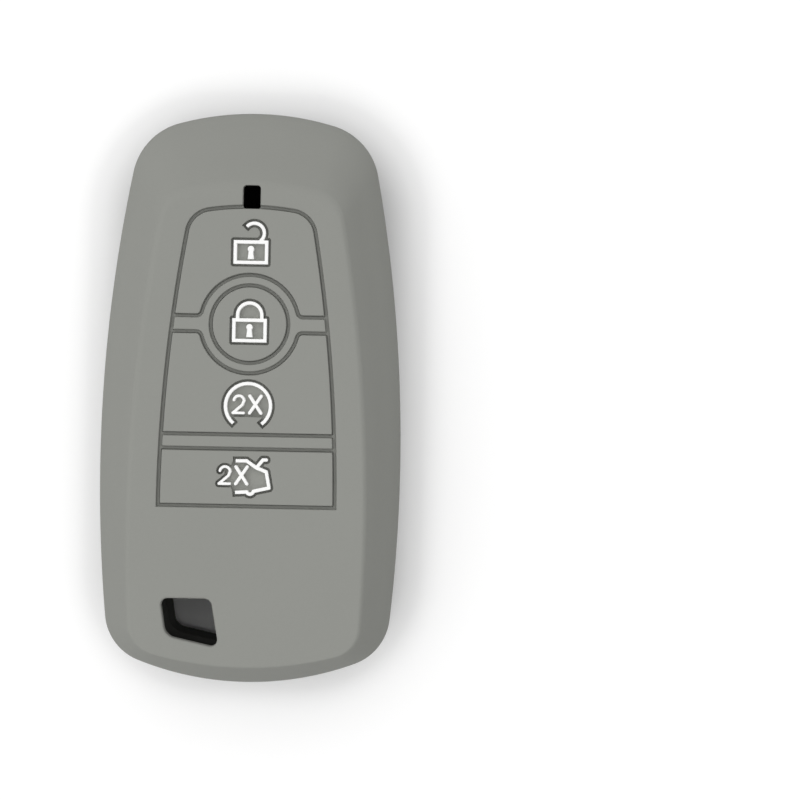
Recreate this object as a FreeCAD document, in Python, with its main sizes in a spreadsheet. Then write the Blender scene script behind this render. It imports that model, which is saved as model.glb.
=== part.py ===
"""Silicone key fob cover: one moulded skin, four push pads and the white fills of their marks.

Millimetres. The cover lies on its flat back: +Z is the front face, +Y the end with the light slot.
The origin is the middle of the back panel, below the centre of the plan outline.
"""
import FreeCAD, Part
import math
import os
import re
import Sketcher

Vector = FreeCAD.Vector
UP = Vector(0, 0, 1)

# Driving dimensions, each a cell of the sheet
SIZES = {
    # Outline of the whole cover at its widest level
    "cover_length": "82",
    "cover_width": "43.3",
    "cover_thickness": "18",
    "wall": "1.5",
    "rim_top_radius": "40.5",
    "rim_chin_radius": "47.8",
    "rim_side_radius": "221",
    "rim_widest_place": "-9.5",
    "rim_top_corner": "8.6",
    "rim_chin_corner": "7.3",
    # Outline of the flat front and back panels
    "panel_width": "33.5",
    "panel_top_inset": "11",
    "panel_chin_inset": "2.8",
    "panel_top_radius": "40",
    "panel_chin_radius": "50",
    "panel_side_radius": "240",
    "panel_widest_place": "-18",
    "panel_top_corner": "5",
    "panel_chin_corner": "4.5",
    # Keypad frame, measured on the middle of its groove
    "frame_top_place": "26.9",
    "frame_top_radius": "39",
    "frame_corner": "3.7",
    "frame_side_radius": "230",
    "frame_width": "24.9",
    "frame_widest_place": "-16",
    "frame_bottom_place": "-15.35",
    "lock_place": "10.35",
    "lock_radius": "5.47",
    "ring_radius": "6.96",
    "arm_top_place": "11.45",
    "arm_low_place": "9.2",
    "arm_corner": "0.8",
    "band_top_place": "-5.24",
    "band_low_place": "-7.28",
    "groove_width": "0.6",
    "groove_depth": "0.6",
    # Web that holds each pad behind the skin
    "pad_gap": "0.15",
    "web_width": "0.35",
    "web_thickness": "0.4",
    "web_gap": "0.05",
    # Windows
    "light_slot_width": "2.48",
    "light_slot_length": "3.28",
    "light_slot_place": "28.35",
    "light_slot_corner": "0.5",
    "oval_place": "-5.06",
    "oval_width": "11.46",
    "oval_length": "26.1",
    "bead_width": "1.07",
    "bead_groove_width": "0.72",
    "bead_groove_depth": "0.6",
    "key_window_left": "-11.65",
    "key_window_right": "-4.7",
    "key_window_chin_inset": "12.5",
    "key_window_low_left": "-10.85",
    "key_window_low_right": "-3.45",
    "key_window_left_drop": "5.15",
    "key_window_right_drop": "6.7",
    "key_window_corner": "1.1",
    "mouth_width": "31.5",
    "mouth_height": "4.8",
    "mouth_place": "7",
    "mouth_corner": "2",
    # Marks: white fills standing in shallow recesses
    "mark_recess": "0.8",
    "mark_height": "0.75",
    "mark_margin": "0.28",
    "mark_stroke": "0.58",
    "thin_stroke": "0.45",
    "padlock_width": "5",
    "padlock_length": "3.48",
    "unlock_mark_place": "20.5",
    "hook_radius": "1.4",
    "hook_side": "0.45",
    "hook_rise": "2.7",
    "lock_mark_place": "9.47",
    "shackle_radius": "1.71",
    "shackle_rise": "2.16",
    "keyhole_radius": "0.47",
    "keyhole_rise": "0.49",
    "keyhole_drop": "0.95",
    "keyhole_base": "0.94",
    "keyhole_neck": "0.66",
    "start_mark_place": "-1.2",
    "start_ring_radius": "3.19",
    "numeral_width": "1.6",
    "numeral_length": "2.42",
    "numeral_side": "1.18",
    "numeral_rise": "0.22",
    "boot_mark_place": "-11.13",
    "boot_mark_side": "-0.55",
    "boot_mark_width": "7.2",
    "boot_mark_length": "4.58",
    "boot_numeral_place": "-11.03",
    "boot_numeral_side": "-2.1",
    "overrun": "1",
}

# Shares of the sizes that they follow
# Half profile of the cover: the way from rim to panel edge, and from mid level to face
SHELL_PROFILE_SHARES = (
    (0, 0),
    (0.005, 0.1),
    (0.03, 0.215),
    (0.13, 0.32),
    (0.5, 0.62),
    (0.89, 0.92),
    (0.96, 0.966),
    (1.04, 0.993),
    (1.16, 1),
)
POCKET_PROFILE_SHARES = ((0, 0), (0.03, 0.2), (1, 1))
RIDGE_INSET_SHARE = 0.55
LIGHT_SLOT_DEPTH_SHARE = 2.2
OVAL_DEPTH_SHARE = 1.5
MOUTH_DEPTH_SHARE = 2
NUMERAL_ARC_SHARES = ((-0.42, 0.25), (0.05, 0.5), (0.48, 0.22))
NUMERAL_LEG_SHARES = ((0.33, -0.03), (-0.5, -0.5), (0.45, -0.5))
TIMES_SHARES = (((-0.5, 0.5), (0, 0), (0.5, 0.5)), ((-0.5, -0.5), (0, 0), (0.5, -0.5)))
START_FLOOR_SHARES = (0.68, -0.3)
BOOT_ROOF_SHARES = ((-0.153, 0.467), (0.061, 0.472), (0.264, 0.269), (0.44, 0.164), (0.5, -0.332))
BOOT_BUMP_SHARES = ((0.215, -0.452), (0.146, -0.545), (0.083, -0.478))
BOOT_TAIL_SHARES = ((-0.146, -0.5),)
BOOT_LID_SHARES = ((0.264, 0.269), (0.396, 0.5), (0.457, 0.5))
BOOT_NUMERAL_SHARES = (
    (-0.17, -0.28),
    (-0.5, -0.245),
    (-0.46, 0.2),
    (-0.36, 0.31),
    (-0.25, 0.25),
    (-0.17, 0.3),
)

# Angles in degrees
HOOK_ANGLES = (-48, 128)
START_RING_ANGLES = (-49, 227)

doc = FreeCAD.newDocument("key_fob_cover")
sheet = doc.addObject("Spreadsheet::Sheet", "sizes")
for row, (alias, number) in enumerate(SIZES.items(), start=1):
    sheet.set(f"A{row}", alias)
    sheet.set(f"B{row}", number)
    sheet.setAlias(f"B{row}", alias)
doc.recompute()


def bound(text):
    """Point every size named in an expression at the sheet."""
    return re.sub(r"[a-z_]+", lambda word: "sizes." + word[0] if word[0] in SIZES else word[0], text)


def worth(text):
    """The present value of an expression over the sheet."""
    return float(sheet.evalExpression(text))


def origin_plane(body, role):
    return next(plane for plane in body.Origin.OriginFeatures if plane.Role == role)


def new_sketch(body, name, offset, role="XY_Plane"):
    """An empty sketch on one of the body's own planes, moved along its normal by an expression."""
    sketch = body.newObject("Sketcher::SketchObject", name)
    sketch.AttachmentSupport = [(origin_plane(body, role), "")]
    sketch.MapMode = "FlatFace"
    sketch.setExpression("AttachmentOffset.Base.z", bound(offset))
    return sketch


def dimension(sketch, kind, where, text):
    """A driving dimension whose value is an expression over the sheet."""
    index = sketch.addConstraint(Sketcher.Constraint(kind, *where, worth(text)))
    sketch.setExpression(f"Constraints[{index}]", bound(text))


def pin_point(sketch, geometry, vertex, place):
    """Hold one point of a sketch at a place given by two expressions, None being the middle line."""
    across, along = place
    if across is None:
        sketch.addConstraint(Sketcher.Constraint("PointOnObject", geometry, vertex, -2))
    else:
        dimension(sketch, "DistanceX", (-1, 1, geometry, vertex), across)
    dimension(sketch, "DistanceY", (-1, 1, geometry, vertex), along)


# Tracks are the long arcs and level lines that an outline runs along, counter-clockwise


def arc_track(centre, radius, hollow=False):
    """A track on a circle. A hollow one bends into the outline instead of around it."""
    across = 0.0 if centre[0] is None else worth(centre[0])
    middle = Vector(across, worth(centre[1]), 0)
    return {"centre": centre, "radius": radius, "hollow": hollow, "middle": middle, "reach": worth(radius)}


def line_track(level, inside):
    """A level track. Inside is 1 where the outline lies above it and -1 where it lies below."""
    return {"level": level, "inside": inside, "height": worth(level)}


def moved_in(track, distance):
    """The track moved towards the inside of the outline, as numbers."""
    if "level" in track:
        return dict(track, height=track["height"] + track["inside"] * distance)
    return dict(track, reach=track["reach"] + (distance if track["hollow"] else -distance))


def crossing(one, two, near):
    """The point where two tracks meet that lies nearest to a given point."""
    if "level" in one:
        one, two = two, one
    middle, reach = one["middle"], one["reach"]
    if "level" in two:
        drop = two["height"] - middle.y
        half = math.sqrt(reach ** 2 - drop ** 2)
        found = [Vector(middle.x + side * half, two["height"], 0) for side in (-1, 1)]
    else:
        apart = two["middle"] - middle
        gap = apart.Length
        along = (gap ** 2 + reach ** 2 - two["reach"] ** 2) / (2 * gap)
        half = math.sqrt(reach ** 2 - along ** 2)
        foot = middle + apart * (along / gap)
        across = UP.cross(apart) * (half / gap)
        found = [foot + across, foot - across]
    return min(found, key=lambda point: (point - near).Length)


def on_track(track, point):
    """The point of a track that lies nearest to a given point."""
    if "level" in track:
        return Vector(point.x, track["height"], 0)
    return track["middle"] + (point - track["middle"]).normalize() * track["reach"]


def arc_between(middle, reach, first, last):
    """A counter-clockwise arc from one point to another."""
    start, end = (math.atan2(point.y - middle.y, point.x - middle.x) for point in (first, last))
    return Part.ArcOfCircle(Part.Circle(middle, UP, reach), start, end)


def draw_track(sketch, track, first, last):
    """Draw one track between two points. Gives its index, first vertex and last vertex."""
    if "level" in track:
        index = sketch.addGeometry(Part.LineSegment(first, last), False)
        sketch.addConstraint(Sketcher.Constraint("Horizontal", index))
        dimension(sketch, "DistanceY", (-1, 1, index, 1), track["level"])
        return index, 1, 2
    ends = (last, first) if track["hollow"] else (first, last)
    index = sketch.addGeometry(arc_between(track["middle"], track["reach"], *ends), False)
    pin_point(sketch, index, 3, track["centre"])
    dimension(sketch, "Radius", (index,), track["radius"])
    return (index, 2, 1) if track["hollow"] else (index, 1, 2)


def draw_outline(sketch, tracks, corners):
    """Draw a closed outline along its tracks.

    Corner i joins track i to the next one: a point near it, and the expression of its rounding or
    None where it is sharp.
    """
    joints = []
    for number, (near, rounding) in enumerate(corners):
        one, two = tracks[number], tracks[(number + 1) % len(tracks)]
        if rounding is None:
            point = crossing(one, two, near)
            joints.append((point, point, None, None))
            continue
        middle = crossing(moved_in(one, worth(rounding)), moved_in(two, worth(rounding)), near)
        joints.append((on_track(one, middle), on_track(two, middle), middle, rounding))
    drawn = []
    for number, track in enumerate(tracks):
        drawn.append(draw_track(sketch, track, joints[number - 1][1], joints[number][0]))
    for number, (first, last, middle, rounding) in enumerate(joints):
        before, after = drawn[number], drawn[(number + 1) % len(drawn)]
        if rounding is None:
            sketch.addConstraint(Sketcher.Constraint("Coincident", before[0], before[2], after[0], after[1]))
            continue
        index = sketch.addGeometry(arc_between(middle, worth(rounding), first, last), False)
        dimension(sketch, "Radius", (index,), rounding)
        sketch.addConstraint(Sketcher.Constraint("Tangent", before[0], before[2], index, 1))
        sketch.addConstraint(Sketcher.Constraint("Tangent", index, 2, after[0], after[1]))


def side_tracks(width, radius, place, grow):
    """The right and left side arcs of an outline, widest at one place along the cover."""
    reach = f"{width} / 2 - {radius}"
    size = f"{radius} + {grow}"
    return arc_track((reach, place), size), arc_track((f"-({reach})", place), size)


def mixed(share, rim, panel):
    """An expression part of the way from a size of the rim to the same size of a panel."""
    return f"({1 - share:.4f} * ({rim}) + {share:.4f} * ({panel}))"


def shell_outline(body, name, level, share, grow):
    """Plan outline of the cover at one level: two ends and two sides, all tangent arcs.

    A share of 0 is the rim and a share of 1 is the edge of a flat panel.
    """
    sketch = new_sketch(body, name, level)
    half_length = "cover_length / 2"
    width = mixed(share, "cover_width", "panel_width")
    top = mixed(share, half_length, f"{half_length} - panel_top_inset")
    chin = mixed(share, f"-{half_length}", f"panel_chin_inset - {half_length}")
    top_radius = mixed(share, "rim_top_radius", "panel_top_radius")
    chin_radius = mixed(share, "rim_chin_radius", "panel_chin_radius")
    side_radius = mixed(share, "rim_side_radius", "panel_side_radius")
    widest = mixed(share, "rim_widest_place", "panel_widest_place")
    top_corner = mixed(share, "rim_top_corner", "panel_top_corner") + f" + {grow}"
    chin_corner = mixed(share, "rim_chin_corner", "panel_chin_corner") + f" + {grow}"
    right, left = side_tracks(width, side_radius, widest, grow)
    top_arc = arc_track((None, f"{top} - {top_radius}"), f"{top_radius} + {grow}")
    chin_arc = arc_track((None, f"{chin} + {chin_radius}"), f"{chin_radius} + {grow}")
    half = worth(width) / 2
    corners = [
        (Vector(half, worth(top), 0), top_corner),
        (Vector(-half, worth(top), 0), top_corner),
        (Vector(-half, worth(chin), 0), chin_corner),
        (Vector(half, worth(chin), 0), chin_corner),
    ]
    draw_outline(sketch, [right, top_arc, left, chin_arc], corners)
    return sketch


def shell_loft(body, name, kind, profile, skin, ruled):
    """Loft from the back panel over the rim to the front panel, a skin inside the cover."""
    sections = []
    half_count = len(profile) - 1
    for number in range(-half_count, half_count + 1):
        share, rise = profile[abs(number)]
        side = "-" if number < 0 else "+"
        level = f"cover_thickness / 2 {side} {rise} * (cover_thickness / 2 - {skin})"
        grow = f"-{skin} * {1 - share * (1 - RIDGE_INSET_SHARE):.4f}"
        sections.append(shell_outline(body, f"{name}_level_{number + half_count}", level, share, grow))
    loft = body.newObject(f"PartDesign::{kind}Loft", name)
    loft.Profile = (sections[0], [""])
    loft.Sections = [(section, [""]) for section in sections[1:]]
    loft.Ruled = ruled


def draw_polygon(sketch, places, rounding):
    """A closed counter-clockwise polygon with rounded corners, each corner place being two expressions."""
    points = [Vector(worth(across), worth(along), 0) for across, along in places]
    count = len(points)
    reach = worth(rounding)
    starts, ends, middles, marks = [], [], [], []
    for number, point in enumerate(points):
        back = (points[number - 1] - point).normalize()
        ahead = (points[(number + 1) % count] - point).normalize()
        half_turn = back.getAngle(ahead) / 2
        starts.append(point + back * (reach / math.tan(half_turn)))
        ends.append(point + ahead * (reach / math.tan(half_turn)))
        middles.append(point + (back + ahead).normalize() * (reach / math.sin(half_turn)))
        marks.append(sketch.addGeometry(Part.Point(point), True))
        pin_point(sketch, marks[-1], 1, places[number])
    lines = []
    for number in range(count):
        after = (number + 1) % count
        line = sketch.addGeometry(Part.LineSegment(ends[number], starts[after]), False)
        sketch.addConstraint(Sketcher.Constraint("PointOnObject", marks[number], 1, line))
        sketch.addConstraint(Sketcher.Constraint("PointOnObject", marks[after], 1, line))
        lines.append(line)
    for number in range(count):
        arc = sketch.addGeometry(arc_between(middles[number], reach, starts[number], ends[number]), False)
        dimension(sketch, "Radius", (arc,), rounding)
        sketch.addConstraint(Sketcher.Constraint("Tangent", lines[number - 1], 2, arc, 1))
        sketch.addConstraint(Sketcher.Constraint("Tangent", arc, 2, lines[number], 1))


def draw_oval(sketch, place, width, length):
    """An ellipse on the middle line, longer along the cover."""
    centre = Vector(0, worth(place), 0)
    end = centre + Vector(0, worth(length) / 2, 0)
    side = centre - Vector(worth(width) / 2, 0, 0)
    oval = sketch.addGeometry(Part.Ellipse(end, side, centre), False)
    sketch.exposeInternalGeometry(oval)
    long_axis, short_axis = oval + 1, oval + 2
    sketch.addConstraint(Sketcher.Constraint("Vertical", long_axis))
    pin_point(sketch, oval, 3, (None, place))
    dimension(sketch, "Distance", (long_axis,), length)
    dimension(sketch, "Distance", (short_axis,), width)


# Keypad outlines, each grown from the middle of the groove around it


def frame_sides(grow):
    return side_tracks("frame_width", "frame_side_radius", "frame_widest_place", grow)


def ring_track(grow):
    return arc_track((None, "lock_place"), f"ring_radius - ({grow})", hollow=True)


def arm_corners(level, grow):
    """Where an arm of the upper band meets the ring: left corner, then right corner."""
    reach, height = worth("ring_radius"), worth(level)
    return [(Vector(side * reach, height, 0), f"arm_corner + {grow}") for side in (-1, 1)]


def sharp(side, level):
    """A sharp corner on one side of the keypad frame."""
    return Vector(side * worth("frame_width") / 2, worth(level), 0), None


def draw_unlock_pad(sketch, grow):
    right, left = frame_sides(grow)
    top = arc_track((None, "frame_top_place - frame_top_radius"), f"frame_top_radius + {grow}")
    arm = line_track(f"arm_top_place - ({grow})", 1)
    left_arm, right_arm = arm_corners("arm_top_place", grow)
    top_right, top_left = (sharp(side, "frame_top_place")[0] for side in (1, -1))
    rounding = f"frame_corner + {grow}"
    corners = [(top_right, rounding), (top_left, rounding), sharp(-1, "arm_top_place")]
    corners += [left_arm, right_arm, sharp(1, "arm_top_place")]
    draw_outline(sketch, [right, top, left, arm, ring_track(grow), arm], corners)


def draw_lock_pad(sketch, grow):
    size = f"lock_radius + {grow}"
    circle = Part.Circle(Vector(0, worth("lock_place"), 0), UP, worth(size))
    index = sketch.addGeometry(circle, False)
    pin_point(sketch, index, 3, (None, "lock_place"))
    dimension(sketch, "Radius", (index,), size)


def draw_start_pad(sketch, grow):
    right, left = frame_sides(grow)
    arm = line_track(f"arm_low_place + {grow}", -1)
    band = line_track(f"band_top_place - ({grow})", 1)
    left_arm, right_arm = arm_corners("arm_low_place", grow)
    corners = [sharp(1, "arm_low_place"), right_arm, left_arm, sharp(-1, "arm_low_place")]
    corners += [sharp(-1, "band_top_place"), sharp(1, "band_top_place")]
    draw_outline(sketch, [right, arm, ring_track(grow), arm, left, band], corners)


def draw_boot_pad(sketch, grow):
    right, left = frame_sides(grow)
    band = line_track(f"band_low_place + {grow}", -1)
    bottom = line_track(f"frame_bottom_place - ({grow})", 1)
    corners = [sharp(1, "band_low_place"), sharp(-1, "band_low_place")]
    corners += [sharp(-1, "frame_bottom_place"), sharp(1, "frame_bottom_place")]
    draw_outline(sketch, [right, band, left, bottom], corners)


def draw_groove_ends(sketch, top, low):
    """The frame groove where it crosses the two ends of a band."""
    outer_right, outer_left = frame_sides("groove_width / 2")
    inner_right, inner_left = (dict(track, hollow=True) for track in frame_sides("-groove_width / 2"))
    high, foot = line_track(top, -1), line_track(low, 1)
    ends = {1: [outer_right, high, inner_right, foot], -1: [inner_left, high, outer_left, foot]}
    for side, tracks in ends.items():
        corners = [sharp(side, top), sharp(side, top), sharp(side, low), sharp(side, low)]
        draw_outline(sketch, tracks, corners)


PAD_DRAWINGS = {
    "unlock_pad": draw_unlock_pad,
    "lock_pad": draw_lock_pad,
    "start_pad": draw_start_pad,
    "boot_pad": draw_boot_pad,
}
PAD_EDGE = "-groove_width / 2"
PAD_HOLE = "(pad_gap - groove_width / 2)"
WEB_EDGE = "(pad_gap + web_width - groove_width / 2)"
WEB_ROOM = "(pad_gap * 2 + web_width - groove_width / 2)"


def cut(body, name, sketch, depth, towards_sketch_normal=False):
    """Cut a sketch into a body and make sure that it took material away."""
    doc.recompute()
    before = body.Shape.Volume
    pocket = body.newObject("PartDesign::Pocket", name)
    pocket.Profile = sketch
    pocket.Reversed = towards_sketch_normal
    pocket.setExpression("Length", bound(depth))
    doc.recompute()
    if body.Shape.Volume >= before:
        raise RuntimeError(f"{name} cuts nothing")


def keypad_sketch(body, name, level, grow):
    sketch = new_sketch(body, name, level)
    for draw in PAD_DRAWINGS.values():
        draw(sketch, grow)
    return sketch


def make_skin():
    """The moulded silicone skin with its pocket, windows and keypad grooves."""
    skin = doc.addObject("PartDesign::Body", "cover_skin")
    shell_loft(skin, "shell", "Additive", SHELL_PROFILE_SHARES, "0", ruled=False)
    shell_loft(skin, "fob_pocket", "Subtractive", POCKET_PROFILE_SHARES, "wall", ruled=True)

    face = "cover_thickness"
    grooves = keypad_sketch(skin, "groove_lines", face, "groove_width / 2")
    cut(skin, "grooves", grooves, "groove_depth")
    ends = new_sketch(skin, "groove_end_lines", face)
    draw_groove_ends(ends, "arm_top_place", "arm_low_place")
    draw_groove_ends(ends, "band_top_place", "band_low_place")
    cut(skin, "groove_ends", ends, "groove_depth")
    holes = keypad_sketch(skin, "pad_hole_lines", face, PAD_HOLE)
    cut(skin, "pad_holes", holes, "wall + overrun")
    webs = keypad_sketch(skin, "web_room_lines", "cover_thickness - wall", WEB_ROOM)
    cut(skin, "web_room", webs, "web_thickness + web_gap", towards_sketch_normal=True)

    above = "cover_thickness + overrun"
    slot = new_sketch(skin, "light_slot_lines", above)
    across = ("-light_slot_width / 2", "light_slot_width / 2")
    along = tuple(f"light_slot_place {side} light_slot_length / 2" for side in "-+")
    corners = [(across[0], along[0]), (across[1], along[0]), (across[1], along[1]), (across[0], along[1])]
    draw_polygon(slot, corners, "light_slot_corner")
    cut(skin, "light_slot", slot, f"overrun + wall * {LIGHT_SLOT_DEPTH_SHARE}")

    window = new_sketch(skin, "key_window_lines", above)
    top = "key_window_chin_inset - cover_length / 2"
    corners = [
        ("key_window_low_left", f"{top} - key_window_left_drop"),
        ("key_window_low_right", f"{top} - key_window_right_drop"),
        ("key_window_right", top),
        ("key_window_left", top),
    ]
    draw_polygon(window, corners, "key_window_corner")
    cut(skin, "key_window", window, "cover_thickness + 2 * overrun")

    back = "0"
    oval = new_sketch(skin, "oval_lines", back)
    draw_oval(oval, "oval_place", "oval_width", "oval_length")
    cut(skin, "oval_window", oval, f"wall * {OVAL_DEPTH_SHARE}", towards_sketch_normal=True)
    bead = new_sketch(skin, "bead_groove_lines", back)
    for width in ("2 * bead_width", "2 * (bead_width + bead_groove_width)"):
        draw_oval(bead, "oval_place", f"oval_width + {width}", f"oval_length + {width}")
    cut(skin, "bead_groove", bead, "bead_groove_depth", towards_sketch_normal=True)

    mouth = new_sketch(skin, "mouth_lines", "cover_length / 2 + overrun", role="XZ_Plane")
    across = ("-mouth_width / 2", "mouth_width / 2")
    along = tuple(f"mouth_place {side} mouth_height / 2" for side in "-+")
    corners = [(across[0], along[0]), (across[1], along[0]), (across[1], along[1]), (across[0], along[1])]
    draw_polygon(mouth, corners, "mouth_corner")
    chin_bulge = "mouth_width * mouth_width / (8 * rim_chin_radius)"
    cut(skin, "mouth", mouth, f"overrun + {chin_bulge} + {MOUTH_DEPTH_SHARE} * wall")
    return skin


def make_pad_blank(name):
    """A push pad as thick as the wall, with the thin web around it that holds it behind the skin."""
    blank = doc.addObject("PartDesign::Body", name + "_blank")
    face = new_sketch(blank, name + "_face_lines", "cover_thickness")
    PAD_DRAWINGS[name](face, PAD_EDGE)
    block = blank.newObject("PartDesign::Pad", name + "_block")
    block.Profile = face
    block.Reversed = True
    block.setExpression("Length", bound("wall"))
    web_lines = new_sketch(blank, name + "_web_lines", "cover_thickness - wall")
    PAD_DRAWINGS[name](web_lines, WEB_EDGE)
    web = blank.newObject("PartDesign::Pad", name + "_web")
    web.Profile = web_lines
    web.setExpression("Length", bound("web_thickness"))
    return blank


# Marks are pen lines laid on the floor of a recess, widened to strokes and raised


def pen_line(name, edges):
    line = doc.addObject("Part::Feature", name)
    line.Shape = Part.Wire(edges)
    line.setExpression("Placement.Base.z", bound("cover_thickness - mark_recess"))
    return line


def widened(name, line, reach, join="Arc", fill=False):
    outline = doc.addObject("Part::Offset2D", name)
    outline.Source = line
    outline.Mode = "Pipe"
    outline.Join = join
    outline.Fill = fill
    outline.setExpression("Value", bound(reach))
    return outline


def raised(name, outline, height):
    solid = doc.addObject("Part::Extrusion", name)
    solid.Base = outline
    solid.DirMode = "Custom"
    solid.Dir = UP
    solid.Solid = True
    solid.setExpression("LengthFwd", bound(height))
    return solid


def joined(name, pieces):
    whole = doc.addObject("Part::MultiFuse", name)
    whole.Shapes = pieces
    whole.Refine = True
    return whole


def stroke(name, line, width):
    return raised(name, widened(name + "_outline", line, f"{width} / 2"), "mark_height")


def recess(name, line, reach):
    return raised(name, widened(name + "_outline", line, f"{reach} + mark_margin"), "mark_recess + overrun")


def straight(points, closed=False):
    """Line edges through points, in order."""
    ahead = points[1:] + points[:1] if closed else points[1:]
    return [Part.LineSegment(one, two).toShape() for one, two in zip(points, ahead)]


def spread(centre, width, length, shares):
    """Points at shares of a width and a length from a centre."""
    return [centre + Vector(across * width, along * length, 0) for across, along in shares]


def turn(centre, radius, angles):
    circle = Part.Circle(centre, UP, radius)
    return Part.ArcOfCircle(circle, *(math.radians(angle) for angle in angles))


def padlock_parts(name, place, arch_edges):
    """The frame and arch of a padlock mark, and the lines that its recess follows."""
    centre = Vector(0, worth(place), 0)
    both_strokes = worth("2 * mark_stroke")
    corner_shares = ((-0.5, -0.5), (0.5, -0.5), (0.5, 0.5), (-0.5, 0.5))
    width, length = worth("padlock_width") - both_strokes, worth("padlock_length") - both_strokes
    inside = spread(centre, width, length, corner_shares)
    frame_line = pen_line(name + "_frame_line", straight(inside, closed=True))
    frame_face = widened(name + "_frame_outline", frame_line, "mark_stroke", "Intersection", fill=True)
    frame = raised(name + "_frame", frame_face, "mark_height")
    arch = stroke(name + "_arch", pen_line(name + "_arch_line", arch_edges), "mark_stroke")
    return joined(name, [frame, arch]), frame_line


def make_keyhole(name, place):
    """A keyhole mark: a round head over a foot that flares."""
    head = Vector(0, worth(f"{place} + keyhole_rise"), 0)
    radius, neck, base = worth("keyhole_radius"), worth("keyhole_neck") / 2, worth("keyhole_base") / 2
    low = worth(f"{place} - keyhole_drop")
    waist = head.y - math.sqrt(radius ** 2 - neck ** 2)
    left, right = Vector(-neck, waist, 0), Vector(neck, waist, 0)
    round_edge = arc_between(head, radius, right, left).toShape()
    feet = [left, Vector(-base, low, 0), Vector(base, low, 0), right]
    return raised(name, pen_line(name + "_line", [round_edge] + straight(feet)), "mark_height")


def make_unlock_marks():
    place = "unlock_mark_place"
    centre = Vector(worth("hook_side"), worth(f"{place} + hook_rise"), 0)
    hook = [turn(centre, worth("hook_radius"), HOOK_ANGLES).toShape()]
    padlock, frame_line = padlock_parts("unlock_padlock", place, hook)
    keyhole = make_keyhole("unlock_keyhole", place)
    floor = joined("unlock_recess", [
        recess("unlock_frame_recess", frame_line, "mark_stroke"),
        recess("unlock_hook_recess", pen_line("unlock_hook_line", hook), "mark_stroke / 2"),
    ])
    return [padlock, keyhole], floor


def make_lock_marks():
    place = "lock_mark_place"
    reach = worth("shackle_radius")
    centre = Vector(0, worth(f"{place} + shackle_rise"), 0)
    level = worth(f"{place} + padlock_length / 2 - mark_stroke / 2")
    left, right = Vector(-reach, centre.y, 0), Vector(reach, centre.y, 0)
    left_foot, right_foot = Vector(-reach, level, 0), Vector(reach, level, 0)
    bow = arc_between(centre, reach, right, left).toShape()
    arch = straight([right_foot, right]) + [bow] + straight([left, left_foot])
    padlock, frame_line = padlock_parts("lock_padlock", place, arch)
    keyhole = make_keyhole("lock_keyhole", place)
    bow_line = pen_line("lock_bow_line", arch + straight([left_foot, right_foot]))
    floor = joined("lock_recess", [
        recess("lock_frame_recess", frame_line, "mark_stroke"),
        recess("lock_bow_recess", bow_line, "mark_stroke / 2"),
    ])
    return [padlock, keyhole], floor


def make_twice_marks(pad, across, along):
    """The press-twice mark: a numeral two and a multiplication sign."""
    width, length = worth("numeral_width"), worth("numeral_length")
    side = worth("numeral_side")
    left, right = Vector(across - side, along, 0), Vector(across + side, along, 0)
    bend = spread(left, width, length, NUMERAL_ARC_SHARES)
    leg = spread(left, width, length, NUMERAL_LEG_SHARES)
    two_line = pen_line(pad + "_two_line", [Part.Arc(*bend).toShape()] + straight(bend[-1:] + leg))
    two = stroke(pad + "_two", two_line, "thin_stroke")
    bars = []
    for number, shares in enumerate(TIMES_SHARES):
        bar_line = pen_line(f"{pad}_bar_line_{number}", straight(spread(right, width, length, shares)))
        bars.append(stroke(f"{pad}_bar_{number}", bar_line, "thin_stroke"))
    return [two, joined(pad + "_times", bars)]


def make_start_marks():
    centre = Vector(0, worth("start_mark_place"), 0)
    reach = worth("start_ring_radius")
    bow = turn(centre, reach, START_RING_ANGLES)
    ring = stroke("start_ring", pen_line("start_ring_line", [bow.toShape()]), "mark_stroke")
    twice = make_twice_marks("start", centre.x, worth("start_mark_place + numeral_rise"))
    across, along = START_FLOOR_SHARES
    sill = spread(centre, reach, reach, ((-across, along), (across, along)))
    floor_edges = [bow.toShape()] + straight([bow.EndPoint] + sill + [bow.StartPoint])
    floor_line = pen_line("start_floor_line", floor_edges)
    return [ring] + twice, recess("start_recess", floor_line, "mark_stroke / 2")


def make_boot_marks():
    centre = Vector(worth("boot_mark_side"), worth("boot_mark_place"), 0)
    size = worth("boot_mark_width"), worth("boot_mark_length")
    runs = (BOOT_ROOF_SHARES, BOOT_BUMP_SHARES, BOOT_TAIL_SHARES, BOOT_LID_SHARES, BOOT_NUMERAL_SHARES)
    roof, bump, tail, lid, numeral = (spread(centre, *size, shares) for shares in runs)
    edges = straight(roof + bump[:1]) + [Part.Arc(*bump).toShape()] + straight(bump[-1:] + tail)
    lid_line = pen_line("boot_lid_line", straight(lid))
    outline = joined("boot_outline", [
        stroke("boot_body", pen_line("boot_body_line", edges), "mark_stroke"),
        stroke("boot_lid", lid_line, "mark_stroke"),
    ])
    twice = make_twice_marks("boot", worth("boot_numeral_side"), worth("boot_numeral_place"))
    floor_line = pen_line("boot_floor_line", edges + straight(tail + numeral + roof[:1]))
    floor = joined("boot_recess", [
        recess("boot_body_recess", floor_line, "mark_stroke / 2"),
        recess("boot_lid_recess", lid_line, "mark_stroke / 2"),
    ])
    return [outline] + twice, floor


MARKS = {
    "unlock_pad": make_unlock_marks,
    "lock_pad": make_lock_marks,
    "start_pad": make_start_marks,
    "boot_pad": make_boot_marks,
}


def make_pad(name):
    """One push pad with the recess of its mark, and the fills that stand in the recess."""
    blank = make_pad_blank(name)
    fills, floor = MARKS[name]()
    pad = doc.addObject("Part::Cut", name)
    pad.Base = blank
    pad.Tool = floor
    return [pad] + fills


sub_parts = [make_skin()]
for pad_name in PAD_DRAWINGS:
    sub_parts += make_pad(pad_name)
doc.recompute()

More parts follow.
